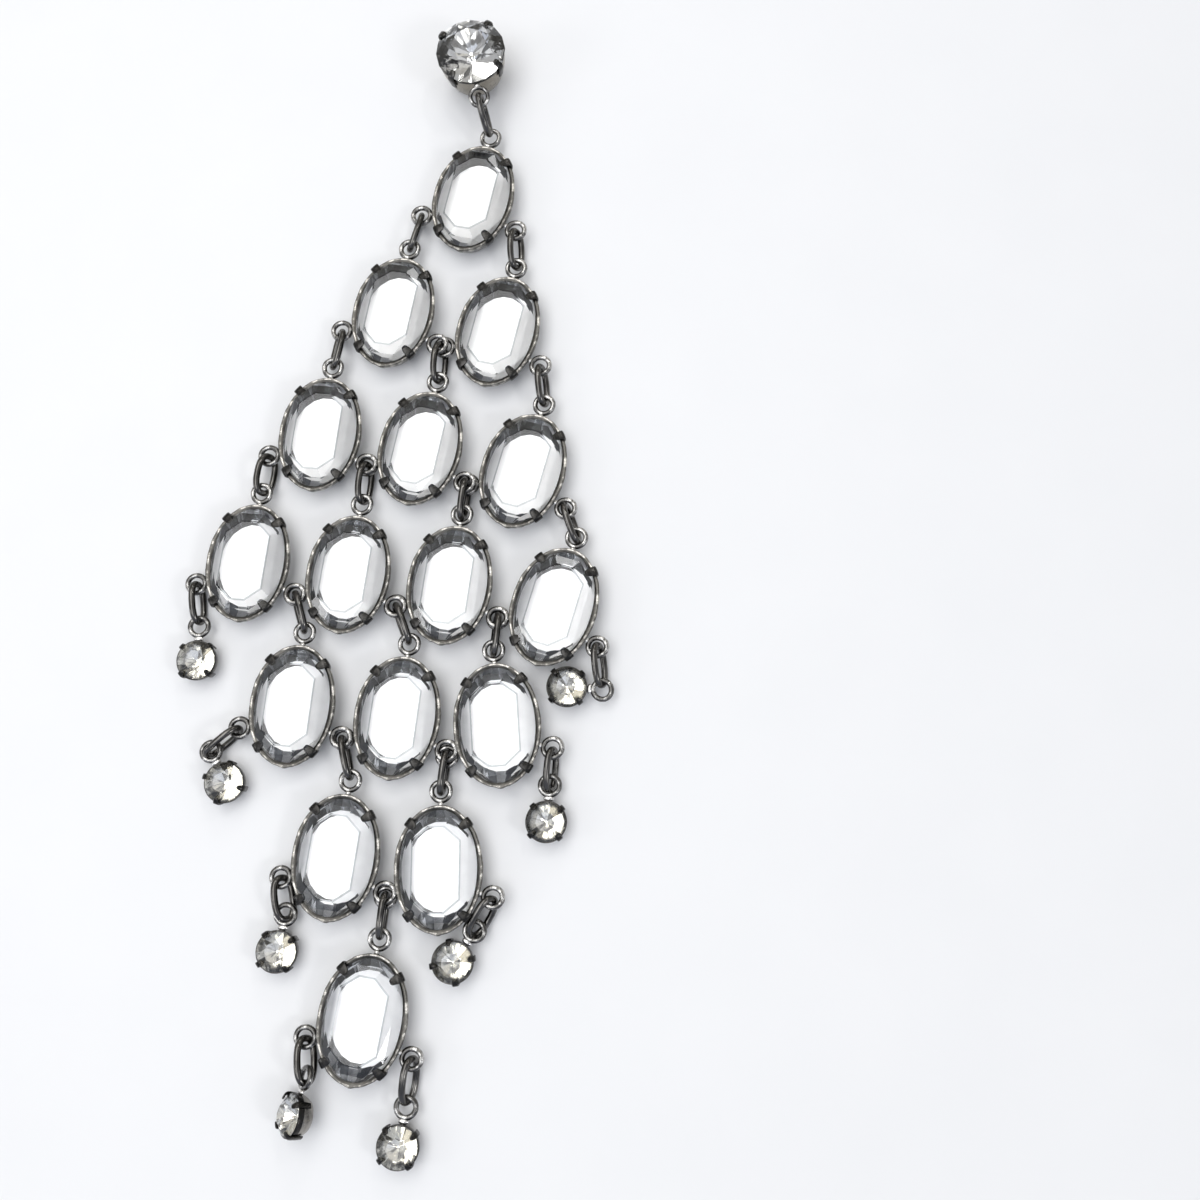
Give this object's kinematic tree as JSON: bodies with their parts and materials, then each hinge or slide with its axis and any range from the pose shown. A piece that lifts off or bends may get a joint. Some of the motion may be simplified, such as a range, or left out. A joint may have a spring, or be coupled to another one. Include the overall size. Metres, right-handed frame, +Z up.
{
  "type": "chandelier earring",
  "caption": "Long chandelier earring lying flat: a round stone stud over linked rows of clear oval stones in open metal settings, with small round drops at the edges.",
  "frame": {"origin": "on the surface that the earring lies on, at the middle of its outline seen from above", "axes": "+Z up from the surface, +Y along the earring towards the stud, +X to the right seen from above"},
  "size_m": [0.0608, 0.1604, 0.0089],
  "materials": {
    "setting_metal": "antiqued dark silver plating, satin, darker in the recesses",
    "link_metal": "dark gunmetal plating, glossy",
    "clip_metal": "dark silver plating, satin",
    "drop_metal": "dark silver plating round a foiled, faceted round glass stone",
    "clear_glass": "clear cut glass, no foil, polished facets",
    "foiled_glass": "cut glass with a foil backing, polished facets"
  },
  "bodies": {
    "root": {"stud_setting": "setting_metal", "stud_stone": "foiled_glass", "stud_clip": "clip_metal", "oval_setting_01": "setting_metal", "oval_setting_02": "setting_metal", "oval_setting_03": "setting_metal", "oval_setting_04": "setting_metal", "oval_setting_05": "setting_metal", "oval_setting_06": "setting_metal", "oval_setting_07": "setting_metal", "oval_setting_08": "setting_metal", "oval_setting_09": "setting_metal", "oval_setting_10": "setting_metal", "oval_setting_11": "setting_metal", "oval_setting_12": "setting_metal", "oval_setting_13": "setting_metal", "oval_setting_14": "setting_metal", "oval_setting_15": "setting_metal", "oval_setting_16": "setting_metal", "oval_stone_01": "clear_glass", "oval_stone_02": "clear_glass", "oval_stone_03": "clear_glass", "oval_stone_04": "clear_glass", "oval_stone_05": "clear_glass", "oval_stone_06": "clear_glass", "oval_stone_07": "clear_glass", "oval_stone_08": "clear_glass", "oval_stone_09": "clear_glass", "oval_stone_10": "clear_glass", "oval_stone_11": "clear_glass", "oval_stone_12": "clear_glass", "oval_stone_13": "clear_glass", "oval_stone_14": "clear_glass", "oval_stone_15": "clear_glass", "oval_stone_16": "clear_glass", "link_01": "link_metal", "link_02": "link_metal", "link_03": "link_metal", "link_04": "link_metal", "link_05": "link_metal", "link_06": "link_metal", "link_07": "link_metal", "link_08": "link_metal", "link_09": "link_metal", "link_10": "link_metal", "link_11": "link_metal", "link_12": "link_metal", "link_13": "link_metal", "link_14": "link_metal", "link_15": "link_metal", "link_16": "link_metal", "drop_01": "drop_metal", "drop_02": "drop_metal", "drop_03": "drop_metal", "drop_04": "drop_metal", "drop_05": "drop_metal", "drop_06": "drop_metal", "drop_07": "drop_metal", "drop_08": "drop_metal"}
  },
  "joints": []
}
